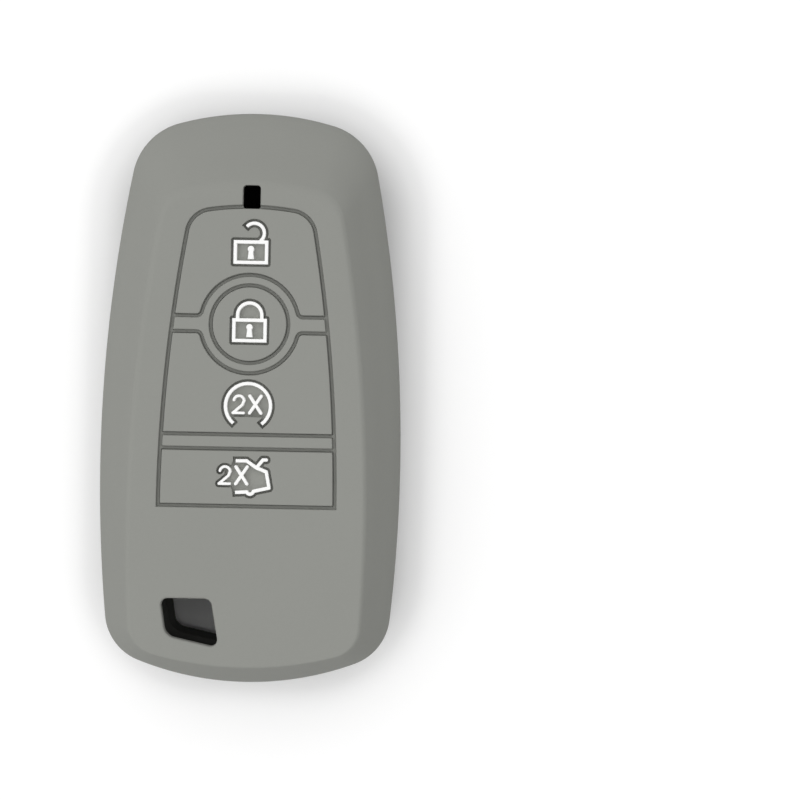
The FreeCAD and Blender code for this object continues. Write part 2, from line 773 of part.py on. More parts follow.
for item in doc.Objects:
    if "Invalid" in item.State or "Error" in item.State:
        raise RuntimeError(f"{item.Label} failed: {item.State}")
for item in sub_parts:
    if item.Shape.isNull() or not item.Shape.isValid() or len(item.Shape.Solids) != 1:
        raise RuntimeError(f"{item.Label} is not one sound solid")

os.makedirs("parts", exist_ok=True)
for item in sub_parts:
    item.Shape.exportStep(f"parts/{item.Label}.step")
    print(item.Label, round(item.Shape.Volume, 3))
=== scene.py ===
"""The looks of a grey silicone key fob cover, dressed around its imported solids.

Every piece is worked out in millimetres and scaled to metres when it is finished. The cover lies on its
back: +Z is the front face, +Y the end with the light slot.
"""
import math

import bmesh
import bpy
import numpy as np
from mathutils import Matrix, Vector, geometry


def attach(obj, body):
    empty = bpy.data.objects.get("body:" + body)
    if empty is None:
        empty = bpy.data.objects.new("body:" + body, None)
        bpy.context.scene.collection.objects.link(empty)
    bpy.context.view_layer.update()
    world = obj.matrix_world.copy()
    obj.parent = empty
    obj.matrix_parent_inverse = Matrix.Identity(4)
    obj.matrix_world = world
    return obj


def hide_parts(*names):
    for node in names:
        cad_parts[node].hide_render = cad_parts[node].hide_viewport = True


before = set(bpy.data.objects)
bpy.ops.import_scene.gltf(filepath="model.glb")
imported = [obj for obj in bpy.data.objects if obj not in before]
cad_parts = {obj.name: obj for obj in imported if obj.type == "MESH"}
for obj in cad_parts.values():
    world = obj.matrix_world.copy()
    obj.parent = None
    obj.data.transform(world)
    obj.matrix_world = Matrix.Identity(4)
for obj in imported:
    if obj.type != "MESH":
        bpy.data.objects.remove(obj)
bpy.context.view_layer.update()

MM = 0.001

# Cover outline at its widest level, in millimetres
HALF_LENGTH = 41.0
HALF_WIDTH = 21.65
THICKNESS = 18.0
WALL = 1.5
RIM = {"top_radius": 40.5, "chin_radius": 43.5, "side_radius": 221.0, "widest": -9.5}
RIM_CORNERS = (9.2, 7.6)
# Flat front and back panels
PANEL_HALF_WIDTH = 16.75
PANEL_TOP_INSET = 11.0
PANEL_CHIN_INSET = 2.8
PANEL = {"top_radius": 40.0, "chin_radius": 50.0, "side_radius": 240.0, "widest": -18.0}
PANEL_CORNERS = (5.0, 4.5)
# Half profile of the cover: the way from rim to panel edge, and from mid level to face
SHELL_PROFILE = (
    (0, 0),
    (0.005, 0.1),
    (0.03, 0.215),
    (0.13, 0.32),
    (0.5, 0.62),
    (0.89, 0.92),
    (0.96, 0.966),
    (1.04, 0.993),
    (1.16, 1),
)
POCKET_PROFILE = ((0, 0), (0.03, 0.2), (1, 1))
RIDGE_INSET_SHARE = 0.55
POCKET_TOP_INSET = 9.9

# Keypad, measured on the middle of its grooves
FRAME_TOP = 26.9
FRAME_TOP_RADIUS = 39.0
FRAME_CORNER = 3.7
FRAME_SIDE_RADIUS = 230.0
FRAME_HALF_WIDTH = 12.45
FRAME_WIDEST = -16.0
FRAME_BOTTOM = -15.35
LOCK_PLACE = 10.35
LOCK_RADIUS = 5.47
RING_RADIUS = 6.96
ARM_TOP = 11.45
ARM_LOW = 9.2
ARM_CORNER = 0.8
STRIP_TOP = -5.24
STRIP_LOW = -7.28
GROOVE_HALF = 0.28
GROOVE_FOOT = 0.18
GROOVE_DEPTH = 0.72
# Web that holds each pad behind the skin, measured from the same lines
PAD_HOLE = -0.14
WEB_EDGE = 0.2
WEB_ROOM = 0.35
WEB_THICKNESS = 0.4
WEB_GAP = 0.05

# Windows
SLOT_HALF_WIDTH = 1.24
SLOT_TOP = 29.99
SLOT_LOW = 26.2
SLOT_CORNER = 0.5
SLOT_FLARE = 0.12
SLOT_PLUG_RISE = 0.24
SLOT_PAD_GAP = 0.02
OVAL_PLACE = -5.06
OVAL_HALF_WIDTH = 5.73
OVAL_HALF_LENGTH = 13.05
BEAD_WIDTH = 1.07
BEAD_GROOVE_WIDTH = 0.72
BEAD_GROOVE_DEPTH = 0.8
BEAD_GROOVE_DRAFT = 0.06
KEY_WINDOW = ((-11.07, -33.81), (-3.52, -35.44), (-4.76, -28.5), (-11.9, -28.5))
KEY_WINDOW_CORNERS = (1.9, 0.9, 1.1, 0.9)
MOUTH_HALF_WIDTH = 15.75
MOUTH_LOW = 4.6
MOUTH_TOP = 9.4
MOUTH_CORNER = 2.0

# Rounded lips of the moulding, and the slope on the pocket side of the back key-ring window
GROOVE_LIP = 0.1
KEY_WINDOW_LIP = 0.3
KEY_WINDOW_BEVEL = 0.9
MOUTH_LIP = 0.5
BEAD_GROOVE_LIP = 0.12
RECESS_LIP = 0.08
MARK_LIP = 0.1
LIP_STEPS = 4
# Narrow strip of flat face beside each lip, so that the faces shade flat
GUARD = 0.04

# Marks: white fills standing in shallow recesses
RECESS_DEPTH = 0.95
MARK_SINK = 0.05
MARK_MARGIN = 0.35
MARK_STROKE = 0.49
MARK_REACH = MARK_STROKE + 2 * MARK_MARGIN
TWICE_STROKES = (0.39, 0.45)
TWICE_REACH = (1.01, 1.01)
PADLOCK_SIZE = (4.91, 3.39)
UNLOCK_MARK_PLACE = 20.5
HOOK_CENTRE = (0.45, 23.2)
HOOK_RADIUS = 1.4
HOOK_ANGLES = (-48, 140)
LOCK_MARK_PLACE = 9.47
SHACKLE_RADIUS = 1.71
SHACKLE_RISE = 2.16
KEYHOLE = {"radius": 0.45, "rise": 0.45, "drop": 0.97, "base": 0.9, "neck": 0.63}
START_MARK_PLACE = -1.2
START_RING_RADIUS = 3.19
START_RING_ANGLES = (-52.5, 230.5)
START_SILL = ((-0.68, -0.3), (0.68, -0.3))
NUMERAL_SIZE = (1.6, 2.42)
NUMERAL_SIDE = 1.18
START_NUMERAL_CENTRE = (-0.15, -0.98)
NUMERAL_BEND = ((-0.42, 0.25), (0.05, 0.5), (0.48, 0.22))
NUMERAL_LEG = ((0.33, -0.03), (-0.5, -0.5), (0.45, -0.5))
TIMES_BARS = (((-0.5, 0.5), (0.5, -0.5)), ((-0.5, -0.5), (0.5, 0.5)))
BOOT_CENTRE = (-0.55, -11.13)
BOOT_SIZE = (7.2, 4.58)
BOOT_NUMERAL_CENTRE = (-1.93, -11.0)
BOOT_ROOF = ((-0.145, 0.477), (0.069, 0.482), (0.264, 0.269), (0.459, 0.152), (0.519, -0.344))
BOOT_BUMP = ((0.215, -0.452), (0.146, -0.545), (0.083, -0.478))
BOOT_TAIL = (-0.146, -0.5)
BOOT_LID = ((0.264, 0.269), (0.389, 0.517), (0.457, 0.517))

# How finely the shapes are drawn
SIDE_POINTS = 48
END_POINTS = 40
CORNER_POINTS = 24
TRACK_POINTS = 24
CROWDED = 0.03
ROUND_POINTS = 72
ARC_POINTS = 30
BEND_POINTS = 7
DOT_POINTS = 24
PROFILE_STEPS = 6
BEAD_STEPS = 10
MOUTH_SPACING = 0.5
MOUTH_ROOM = 0.9
LEVEL_LINE = 1e5
WELD = 0.001
FINE_WELD = WELD / 10
SHARP_ANGLE = 38

# Levels
MID = THICKNESS / 2
GROOVE_FLOOR = THICKNESS - GROOVE_DEPTH
INSIDE_FRONT = THICKNESS - WALL
INSIDE_BACK = WALL
WEB_TOP = INSIDE_FRONT + WEB_THICKNESS
LEDGE = WEB_TOP + WEB_GAP
MARK_FLOOR = THICKNESS - RECESS_DEPTH
MARK_TOP = THICKNESS - MARK_SINK

# Silicone: sizes of its clouds and grain in millimetres, the values its noise mostly has, and its gloss
SILICONE_GREY = "#92938e"
INK_WHITE = "#fdfdfc"
CLOUD_SIZE = 9
GRAIN_SIZE = 0.35
GRAIN_DEPTH = 0.05
CLOUD_RANGE = (0.3, 0.7)
MOTTLE_RANGE = (0.7, 1.3)
ROUGHNESS_SWING = 0.04
SILICONE_IOR = 1.41
SILICONE_SPECULAR = 0.2
# Painted shade: how much of its colour the silicone keeps on its pocket side, darkened to stand in for the
# dim light in the pocket
POCKET_PAINTED_SHADE = 0.3

# The photograph, in its pixels, and the camera that took it
PHOTO_SIDE = 800
COVER_PIXEL = (252.0, 397.6)
COVER_TILT = 1.1
FOCAL_PIXELS = 2405
CAMERA_HEIGHT = 357.0
SENSOR = 36.0
# Floor, with its side in metres, and how far it is lifted to plain white
FLOOR_SIZE = 3.0
FLOOR_COLOUR = "#dedede"
FLOOR_ROUGHNESS = 0.9
FLOOR_LIFT = 0.34
PLAIN_WHITE = "#ffffff"
# Painted contact shadow: share of the lift by the distance from a rounded box around the cover, in
# millimetres; with less lift near the cover and none under it, the floor is painted darker there
PAINTED_CONTACT_SHADOW = ((-6.0, 0.0), (-3.0, 0.0), (0.5, 0.6), (2.8, 0.65), (4.3, 0.88), (6.2, 1.0), (8.0, 1.0))
CONTACT_CORNER = 15.0
CONTACT_SHIFT = 0.8
# Light tent: brightness by height from level to straight up, where the camera's hole is, and by side
TENT_STRENGTH = 1.51
TENT_HEIGHTS = ((0.0, 0.12), (0.2, 0.2), (0.45, 0.48), (0.75, 0.82), (0.92, 1.0), (1.0, 0.24))
TENT_TO_RIGHT = -0.46
TENT_TO_SLOT_END = 0.13


def linear(colour):
    """An sRGB hex colour as linear red, green and blue with full alpha."""
    shares = [int(colour[place:place + 2], 16) / 255 for place in (1, 3, 5)]
    return (*(s / 12.92 if s <= 0.04045 else ((s + 0.055) / 1.055) ** 2.4 for s in shares), 1.0)


def add_node(tree, kind, inputs=None, stops=(), **settings):
    """Add a node with its settings, and give its outputs.

    An input takes a value or the output that it is linked to. Stops (place, grey), from 0 to 1, are those
    of a colour ramp, and the settings are then the ramp's.
    """
    node = tree.nodes.new(kind)
    for name, value in settings.items():
        setattr(node.color_ramp if stops else node, name, value)
    for socket, value in (inputs or {}).items():
        if isinstance(value, bpy.types.NodeSocket):
            tree.links.new(value, node.inputs[socket])
        else:
            node.inputs[socket].default_value = value
    if stops:
        elements = node.color_ramp.elements
        for place, _ in stops[1:-1]:
            elements.new(place)
        for element, (place, grey) in zip(elements, stops):
            element.position = place
            element.color = (grey, grey, grey, 1)
    return node.outputs


def bare_tree(owner):
    """The node tree of a new material or world, emptied."""
    owner.use_nodes = True
    owner.node_tree.nodes.clear()
    return owner.node_tree


def placed_object(name, data):
    """A new object in the scene."""
    made = bpy.data.objects.new(name, data)
    bpy.context.scene.collection.objects.link(made)
    return made


def plain_mesh(worker):
    """The mesh of an object with its modifiers applied."""
    graph = bpy.context.evaluated_depsgraph_get()
    return bpy.data.meshes.new_from_object(worker.evaluated_get(graph))


# Materials


def pattern_scale(size):
    """The scale of a noise whose features are a size in millimetres."""
    return 1 / (size * MM)


def moulded_silicone(name, colour, roughness, mottle, grain):
    """Silicone rubber pressed in a blasted steel mould.

    The blasting leaves a fine even grain that keeps the rubber matt, and the filler settles a little
    unevenly, so the grey drifts by a shade over some millimetres. Real grain is about 0.05 mm: it is drawn
    coarser here, so that it shows. On the pocket's side the grey is darkened as painted shade.
    """
    material = bpy.data.materials.new(name)
    tree = bare_tree(material)
    place = add_node(tree, "ShaderNodeTexCoord")["Object"]
    cloud = add_node(tree, "ShaderNodeTexNoise", {
        "Vector": place, "Scale": pattern_scale(CLOUD_SIZE), "Detail": 3, "Roughness": 0.55})["Fac"]
    dust = add_node(tree, "ShaderNodeTexNoise", {
        "Vector": place, "Scale": pattern_scale(GRAIN_SIZE), "Detail": 2, "Roughness": 0.6})["Fac"]
    both = add_node(tree, "ShaderNodeMath", {0: cloud, 1: dust}, operation="ADD")[0]
    shade = add_node(tree, "ShaderNodeMapRange", {
        "Value": both, "From Min": MOTTLE_RANGE[0], "From Max": MOTTLE_RANGE[1],
        "To Min": 1 - mottle, "To Max": 1 + mottle})
    # Painted shade: faces on the pocket side are darkened to stand in for the dim light inside the pocket
    inside = add_node(tree, "ShaderNodeAttribute", attribute_name="pocket_side")["Fac"]
    core = add_node(tree, "ShaderNodeMapRange", {"Value": inside, "To Min": 1.0, "To Max": POCKET_PAINTED_SHADE})
    mottle_and_painted_shade = add_node(tree, "ShaderNodeMath", {0: shade[0], 1: core[0]}, operation="MULTIPLY")[0]
    tint = add_node(tree, "ShaderNodeVectorMath", {
        0: linear(colour)[:3], "Scale": mottle_and_painted_shade}, operation="SCALE")[0]
    polish = add_node(tree, "ShaderNodeMapRange", {
        "Value": cloud, "From Min": CLOUD_RANGE[0], "From Max": CLOUD_RANGE[1],
        "To Min": roughness - ROUGHNESS_SWING, "To Max": roughness + ROUGHNESS_SWING})
    bump = add_node(tree, "ShaderNodeBump", {
        "Height": dust, "Strength": grain, "Distance": GRAIN_DEPTH * MM})["Normal"]
    shader = add_node(tree, "ShaderNodeBsdfPrincipled", {
        "Base Color": tint, "Roughness": polish[0], "Normal": bump,
        "IOR": SILICONE_IOR, "Specular IOR Level": SILICONE_SPECULAR})
    add_node(tree, "ShaderNodeOutputMaterial", {"Surface": shader[0]})
    return material


GREY_SILICONE, PAD_SILICONE = (
    moulded_silicone(name, SILICONE_GREY, roughness=0.75, mottle=0.012, grain=0.25)
    for name in ("moulded_grey_silicone", "moulded_grey_silicone_pads"))
# Pigmented silicone wiped into the recesses: smoother than the moulding, bright and barely mottled
WHITE_SILICONE = moulded_silicone(
    "wiped_white_silicone_ink", INK_WHITE, roughness=0.5, mottle=0.004, grain=0.12)


# Geometry Nodes trees


def new_tree(name, inputs):
    """An empty tree with named inputs and one mesh as its output."""
    tree = bpy.data.node_groups.new(name, "GeometryNodeTree")
    for socket, kind in inputs.items():
        tree.interface.new_socket(socket, in_out="INPUT", socket_type="NodeSocket" + kind)
    tree.interface.new_socket("Mesh", in_out="OUTPUT", socket_type="NodeSocketGeometry")
    return tree, add_node(tree, "NodeGroupInput")


def close_tree(tree, mesh, material):
    """End a tree: instances made real, then dressed in a material."""
    real = add_node(tree, "GeometryNodeRealizeInstances", {"Geometry": mesh})[0]
    dressed = add_node(tree, "GeometryNodeSetMaterial", {"Geometry": real, "Material": material})[0]
    add_node(tree, "NodeGroupOutput", {"Mesh": dressed})
    return tree


def moulded_wall_tree():
    """A wall along an outline, one row of points for each point of a profile.

    Points of the outline carry two vectors, outward and upward. The profile's X is how far outwards a row
    lies, and its Z how far up.
    """
    tree, given = new_tree("moulded_wall", {
        "Outline": "Geometry", "Profile": "Object", "Closing Columns": "Int", "Weld": "Float",
        "Material": "Material"})
    outline = given["Outline"]
    profile = add_node(tree, "GeometryNodeObjectInfo", {"Object": given["Profile"]})["Geometry"]
    column_count, row_count = (
        add_node(tree, "GeometryNodeAttributeDomainSize", {"Geometry": source})["Point Count"]
        for source in (outline, profile))
    columns = add_node(tree, "FunctionNodeIntegerMath", {
        0: column_count, 1: given["Closing Columns"]}, operation="ADD")[0]
    grid = add_node(tree, "GeometryNodeMeshGrid", {"Vertices X": columns, "Vertices Y": row_count})["Mesh"]
    index = add_node(tree, "GeometryNodeInputIndex")[0]
    along = add_node(tree, "FunctionNodeIntegerMath", {0: index, 1: row_count}, operation="DIVIDE_FLOOR")[0]
    column = add_node(tree, "FunctionNodeIntegerMath", {0: along, 1: column_count}, operation="MODULO")[0]
    row = add_node(tree, "FunctionNodeIntegerMath", {0: index, 1: row_count}, operation="MODULO")[0]
    position = add_node(tree, "GeometryNodeInputPosition")[0]
    vectors = [
        add_node(tree, "GeometryNodeInputNamedAttribute", {"Name": name}, data_type="FLOAT_VECTOR")[0]
        for name in ("outward", "upward")]
    sources = [(outline, value, column) for value in (position, *vectors)] + [(profile, position, row)]
    base, outward, upward, step = (
        add_node(tree, "GeometryNodeSampleIndex", {
            "Geometry": source, "Value": value, "Index": place}, data_type="FLOAT_VECTOR")[0]
        for source, value, place in sources)
    shares = add_node(tree, "ShaderNodeSeparateXYZ", {0: step})
    moved = base
    for vector, share in ((outward, shares["X"]), (upward, shares["Z"])):
        part = add_node(tree, "ShaderNodeVectorMath", {0: vector, "Scale": share}, operation="SCALE")
        moved = add_node(tree, "ShaderNodeVectorMath", {0: moved, 1: part[0]})[0]
    placed = add_node(tree, "GeometryNodeSetPosition", {"Geometry": grid, "Position": moved})[0]
    welded = add_node(tree, "GeometryNodeMergeByDistance", {
        "Geometry": placed, "Distance": given["Weld"]})[0]
    return close_tree(tree, welded, given["Material"])


def flat_panel_tree():
    """A flat panel at a level, filled between closed loops: outline, hole, island and so on."""
    tree, given = new_tree("flat_panel", {"Loops": "Geometry", "Level": "Float", "Material": "Material"})
    lines = add_node(tree, "GeometryNodeMeshToCurve", {0: given["Loops"]})[0]
    filled = add_node(tree, "GeometryNodeFillCurve", {0: lines})[0]
    lift = add_node(tree, "ShaderNodeCombineXYZ", {"Z": given["Level"]})[0]
    placed = add_node(tree, "GeometryNodeSetPosition", {"Geometry": filled, "Offset": lift})[0]
    return close_tree(tree, placed, given["Material"])


WALL_TREE = moulded_wall_tree()
PANEL_TREE = flat_panel_tree()


def grown_by_tree(tree, mesh, **values):
    """The plain mesh that a tree makes from a mesh of points or edges."""
    worker = placed_object("worker", mesh)
    modifier = worker.modifiers.new("tree", "NODES")
    modifier.node_group = tree
    for item in tree.interface.items_tree:
        if item.in_out == "INPUT" and item.name in values:
            modifier[item.identifier] = values[item.name]
    made = plain_mesh(worker)
    bpy.data.objects.remove(worker)
    bpy.data.meshes.remove(mesh)
    return made


def wall_along(base, outward, rows, upward=(0, 0, 1), closed=True):
    """A wall whose rows are the base points moved outwards and upwards."""
    outline = bpy.data.meshes.new("outline")
    outline.from_pydata(base.tolist(), [], [])
    for name, vectors in (("outward", outward), ("upward", np.broadcast_to(upward, base.shape))):
        layer = outline.attributes.new(name, "FLOAT_VECTOR", "POINT")
        layer.data.foreach_set("vector", np.array(vectors, dtype=np.float32).ravel())
    profile_mesh = bpy.data.meshes.new("profile")
    profile_mesh.from_pydata([(across, 0, up) for across, up in rows], [], [])
    profile = bpy.data.objects.new("profile", profile_mesh)
    values = {"Profile": profile, "Closing Columns": int(closed), "Weld": FINE_WELD}
    made = grown_by_tree(WALL_TREE, outline, **values)
    bpy.data.objects.remove(profile)
    bpy.data.meshes.remove(profile_mesh)
    return made


def panel(loops, level):
    """A flat panel filled between closed loops at a level."""
    points, edges = [], []
    for loop in loops:
        first, count = len(points), len(loop)
        points += [(x, y, 0) for x, y in loop]
        edges += [(first + number, first + (number + 1) % count) for number in range(count)]
    mesh = bpy.data.meshes.new("loops")
    mesh.from_pydata(points, edges, [])
    return grown_by_tree(PANEL_TREE, mesh, Level=float(level))


# Plan outlines


def meeting_point(one, two, near):
    """Where two circles (x, y, radius) cross, nearest to a point."""
    first, second = np.array(one[:2]), np.array(two[:2])
    apart = second - first
    gap = math.hypot(*apart)
    along = (gap ** 2 + one[2] ** 2 - two[2] ** 2) / (2 * gap)
    half = math.sqrt(one[2] ** 2 - along ** 2)
    foot = first + apart * (along / gap)
    across = np.array((-apart[1], apart[0])) * (half / gap)
    return min((foot + across, foot - across), key=lambda point: math.dist(point, near))


def on_circle(circle, point):
    """The point of a circle in line with its centre and another point."""
    away = point - np.array(circle[:2])
    return np.array(circle[:2]) + away * (abs(circle[2]) / math.hypot(*away))


def round_points(centre, radii, angles):
    """Points of a circle, or of an ellipse where two radii are given, at angles."""
    return np.array(centre) + np.array(radii) * np.stack([np.cos(angles), np.sin(angles)], axis=1)


def arc_points(circle, first, last, count):
    """Points of an arc from one point up to another, clockwise where the radius is below zero."""
    x, y, radius = circle
    start, end = (math.atan2(point[1] - y, point[0] - x) for point in (first, last))
    sweep = (end - start) % math.tau if radius > 0 else -((start - end) % math.tau)
    return round_points((x, y), abs(radius), start + sweep * np.arange(count) / count)


def arc_outline(tracks, corners, counts):
    """A closed counter-clockwise outline along circles, rounded where two of them meet.

    A track (x, y, radius) bends into the outline where its radius is below zero. Corner i joins track i to
    the next: a point near it and its rounding, below zero in a hollow corner and 0 where it is sharp.
    """
    joints = []
    for number, (near, rounding) in enumerate(corners):
        pair = tracks[number], tracks[(number + 1) % len(tracks)]
        middle = meeting_point(*((x, y, radius - rounding) for x, y, radius in pair), near)
        joints.append((*(on_circle(track, middle) for track in pair), (*middle, rounding)))
    points = []
    for number, track in enumerate(tracks):
        first, last = joints[number - 1][1], joints[number][0]
        points.append(arc_points(track, first, last, counts[number]))
        if joints[number][2][2]:
            points.append(arc_points(joints[number][2], last, joints[number][1], CORNER_POINTS))
    return np.concatenate(points)


def level_track(height, inside):
    """A level line as a very large circle. Inside is 1 where the outline lies above it, else -1."""
    return 0.0, height + inside * LEVEL_LINE, LEVEL_LINE


def side_pair(half_width, radius, widest):
    """Right and left side arcs."""
    return (half_width - radius, widest, radius), (radius - half_width, widest, radius)


def shell_outline(half_width, top, chin, arcs, corner_radii):
    """Plan outline of the cover: two ends and two sides, joined by rounded corners."""
    right, left = side_pair(half_width, arcs["side_radius"], arcs["widest"])
    top_arc = (0.0, top - arcs["top_radius"], arcs["top_radius"])
    chin_arc = (0.0, chin + arcs["chin_radius"], arcs["chin_radius"])
    top_corner, chin_corner = corner_radii
    corners = [((half_width, top), top_corner), ((-half_width, top), top_corner)]
    corners += [((-half_width, chin), chin_corner), ((half_width, chin), chin_corner)]
    counts = (SIDE_POINTS, END_POINTS, SIDE_POINTS, END_POINTS)
    return arc_outline([right, top_arc, left, chin_arc], corners, counts)


def keypad_lines():
    """The middle lines of the grooves around each pad and band.

    An outline is a run of tracks, each with the corner at its end: the side, the height and the rounding.
    """
    right, left = side_pair(FRAME_HALF_WIDTH, FRAME_SIDE_RADIUS, FRAME_WIDEST)
    top = (0.0, FRAME_TOP - FRAME_TOP_RADIUS, FRAME_TOP_RADIUS)
    ring = (0.0, LOCK_PLACE, RING_RADIUS)
    hollow_ring = (0.0, LOCK_PLACE, -RING_RADIUS)
    above_arm, below_arm = level_track(ARM_TOP, 1), level_track(ARM_LOW, -1)
    arm_roof, arm_base = level_track(ARM_TOP, -1), level_track(ARM_LOW, 1)
    round_top = [(right, 1, FRAME_TOP, FRAME_CORNER), (top, -1, FRAME_TOP, FRAME_CORNER)]
    bottom = [(left, -1, FRAME_BOTTOM, 0), (level_track(FRAME_BOTTOM, 1), 1, FRAME_BOTTOM, 0)]
    outlines = {
        "frame": round_top + bottom,
        "unlock": [
            *round_top, (left, -1, ARM_TOP, 0), (above_arm, -1, ARM_TOP, ARM_CORNER),
            (hollow_ring, 1, ARM_TOP, ARM_CORNER), (above_arm, 1, ARM_TOP, 0)],
        "start": [
            (right, 1, ARM_LOW, 0), (below_arm, 1, ARM_LOW, ARM_CORNER),
            (hollow_ring, -1, ARM_LOW, ARM_CORNER), (below_arm, -1, ARM_LOW, 0),
            (left, -1, STRIP_TOP, 0), (level_track(STRIP_TOP, 1), 1, STRIP_TOP, 0)],
        "boot": [(right, 1, STRIP_LOW, 0), (level_track(STRIP_LOW, -1), -1, STRIP_LOW, 0), *bottom],
        "band": [
            (right, 1, ARM_TOP, 0), (arm_roof, 1, ARM_TOP, -ARM_CORNER),
            (ring, -1, ARM_TOP, -ARM_CORNER), (arm_roof, -1, ARM_TOP, 0),
            (left, -1, ARM_LOW, 0), (arm_base, -1, ARM_LOW, -ARM_CORNER),
            (ring, 1, ARM_LOW, -ARM_CORNER), (arm_base, 1, ARM_LOW, 0)],
        "strip": [
            (right, 1, STRIP_TOP, 0), (level_track(STRIP_TOP, -1), -1, STRIP_TOP, 0),
            (left, -1, STRIP_LOW, 0), (level_track(STRIP_LOW, 1), 1, STRIP_LOW, 0)],
    }
    deepest = -GROOVE_HALF - GROOVE_LIP - GUARD
    lines = {"lock": oval((0, LOCK_PLACE), LOCK_RADIUS, LOCK_RADIUS, ROUND_POINTS)}
    for name, run in outlines.items():
        tracks = [track for track, *_ in run]
        corners = [((way * FRAME_HALF_WIDTH, height), rounding) for _, way, height, rounding in run]
        lines[name] = unfolded(arc_outline(tracks, corners, [TRACK_POINTS] * len(tracks)), deepest)
    return lines


def oval(centre, half_width, half_length, count):
    """A counter-clockwise ellipse."""
    return round_points(centre, (half_width, half_length), math.tau * np.arange(count) / count)


def unit(vectors):
    """Vectors with the same way and a length of one."""
    return vectors / np.linalg.norm(vectors, axis=-1, keepdims=True)


def mitres(loop):
    """For each point of a closed loop, the way out that moves both of its edges out by one."""
    ahead = unit(np.roll(loop, -1, axis=0) - loop)
    after = np.stack([ahead[:, 1], -ahead[:, 0]], axis=1)
    before = np.roll(after, 1, axis=0)
    return (before + after) / (1 + (before * after).sum(axis=1))[:, None]


def grown(loop, distance):
    """A closed counter-clockwise loop with its edges moved outwards."""
    return loop + mitres(loop) * distance


def rounded_polygon(corners, radii):
    """A closed polygon with its corners rounded to arcs, by one radius or a radius for each."""
    corners = np.array(corners, dtype=float)
    count = len(corners)
    points = []
    for number, (corner, radius) in enumerate(zip(corners, np.broadcast_to(radii, count))):
        back, ahead = (unit(corners[(number + way) % count] - corner) for way in (-1, 1))
        half = math.acos(np.dot(back, ahead)) / 2
        reach = radius / math.tan(half)
        share = np.linspace(0, 1, BEND_POINTS)[:, None]
        weights = (1 - share) ** 2, 2 * (1 - share) * share * math.sin(half), share ** 2
        stops = corner + back * reach, corner, corner + ahead * reach
        points.append(sum(w * stop for w, stop in zip(weights, stops)) / sum(weights))
    return np.concatenate(points)


def rectangle(centre, size):
    """Corners of a rectangle, counter-clockwise."""
    (x, y), (width, length) = centre, size
    shares = ((-0.5, -0.5), (0.5, -0.5), (0.5, 0.5), (-0.5, 0.5))
    return np.array([(x + across * width, y + along * length) for across, along in shares])


def united(polygons):
    """Loops around the area that polygons cover together. Gaps in it run clockwise."""
    points, faces = [], []
    for polygon in polygons:
        faces.append(list(range(len(points), len(points) + len(polygon))))
        points += [Vector(point) for point in polygon]
    places, _, triangles, _, _, owners = geometry.delaunay_2d_cdt(points, [], faces, 1, FINE_WELD)
    covered = set()
    for corners, owner in zip(triangles, owners):
        if not owner:
            continue
        one, two, three = (places[corner] for corner in corners)
        if (two - one).cross(three - one) < 0:
            corners = corners[::-1]
        covered.update(zip(corners, [*corners[1:], corners[0]]))
    border = {first: last for first, last in sorted(covered) if (last, first) not in covered}
    loops = []
    while border:
        start, place = border.popitem()
        loop = [start]
        while place != start:
            loop.append(place)
            place = border.pop(place)
        loops.append(thinned(np.array([places[place] for place in loop])))
    return loops


def thinned(loop):
    """A loop without the points that crowd the one before them."""
    kept = [loop[0]]
    for point in loop[1:]:
        if math.dist(point, kept[-1]) > CROWDED and math.dist(point, loop[0]) > CROWDED:
            kept.append(point)
    return np.array(kept)


def spaced(loop, spacing):
    """A loop with its long edges divided."""
    points = []
    for one, two in zip(loop, np.roll(loop, -1, axis=0)):
        count = max(1, math.ceil(math.dist(one, two) / spacing))
        points += [one + (two - one) * step / count for step in range(count)]
    return np.array(points)


def unfolded(loop, distance):
    """A loop without the points beside its sharp corners that would cross over when it grows."""
    while True:
        moved = grown(loop, distance)
        before, after = (np.roll(line, -1, axis=0) - line for line in (loop, moved))
        folded = np.flatnonzero((before * after).sum(axis=1) <= 0)
        if not len(folded):
            return loop
        sharpness = np.linalg.norm(mitres(loop), axis=1)
        ends = folded[0], (folded[0] + 1) % len(loop)
        loop = np.delete(loop, min(ends, key=lambda place: sharpness[place]), axis=0)


# Walls and lips


def rolled_lip(edge, face, radius, side, down=-1):
    """Rows from a flat face over a rounded lip to a wall.

    Side is 1 where the face lies outside the edge, else -1. Down is 1 on the back, where the wall goes up.
    """
    flat = edge + side * radius
    rows = [(flat + side * GUARD, face)]
    for step in range(LIP_STEPS + 1):
        turn = math.pi / 2 * step / LIP_STEPS
        rows.append((flat - side * radius * math.sin(turn), face + down * radius * (1 - math.cos(turn))))
    return rows


def at_level(loop, level=0.0):
    """A flat loop as points in space."""
    return np.column_stack([loop, np.full(len(loop), level)])


def wall(loop, rows):
    """An upright wall around a flat loop, each row given by how far outwards and how high it is."""
    return wall_along(at_level(loop), at_level(mitres(loop)), rows)


def welded(name, meshes, inside=()):
    """One closed mesh of the parts of a piece. Faces of the parts inside the pocket get the value 1, for
    painted shade.
    """
    outside_faces = sum(len(mesh.polygons) for mesh in meshes)
    whole = bmesh.new()
    for mesh in (*meshes, *inside):
        whole.from_mesh(mesh)
        bpy.data.meshes.remove(mesh)
    pocket_side = whole.faces.layers.float.new("pocket_side")
    for face in list(whole.faces)[outside_faces:]:
        face[pocket_side] = 1.0
    bmesh.ops.remove_doubles(whole, verts=whole.verts[:], dist=WELD)
    bmesh.ops.recalc_face_normals(whole, faces=whole.faces[:])
    mesh = bpy.data.meshes.new(name)
    whole.to_mesh(mesh)
    whole.free()
    return mesh


def cut_away(mesh, cutter):
    """A closed mesh without the room that another one takes."""
    pair = [placed_object(part.name, part) for part in (mesh, cutter)]
    modifier = pair[0].modifiers.new("cut", "BOOLEAN")
    modifier.operation = "DIFFERENCE"
    modifier.solver = "EXACT"
    modifier.object = pair[1]
    made = plain_mesh(pair[0])
    for part in pair:
        bpy.data.meshes.remove(part.data)
    return made


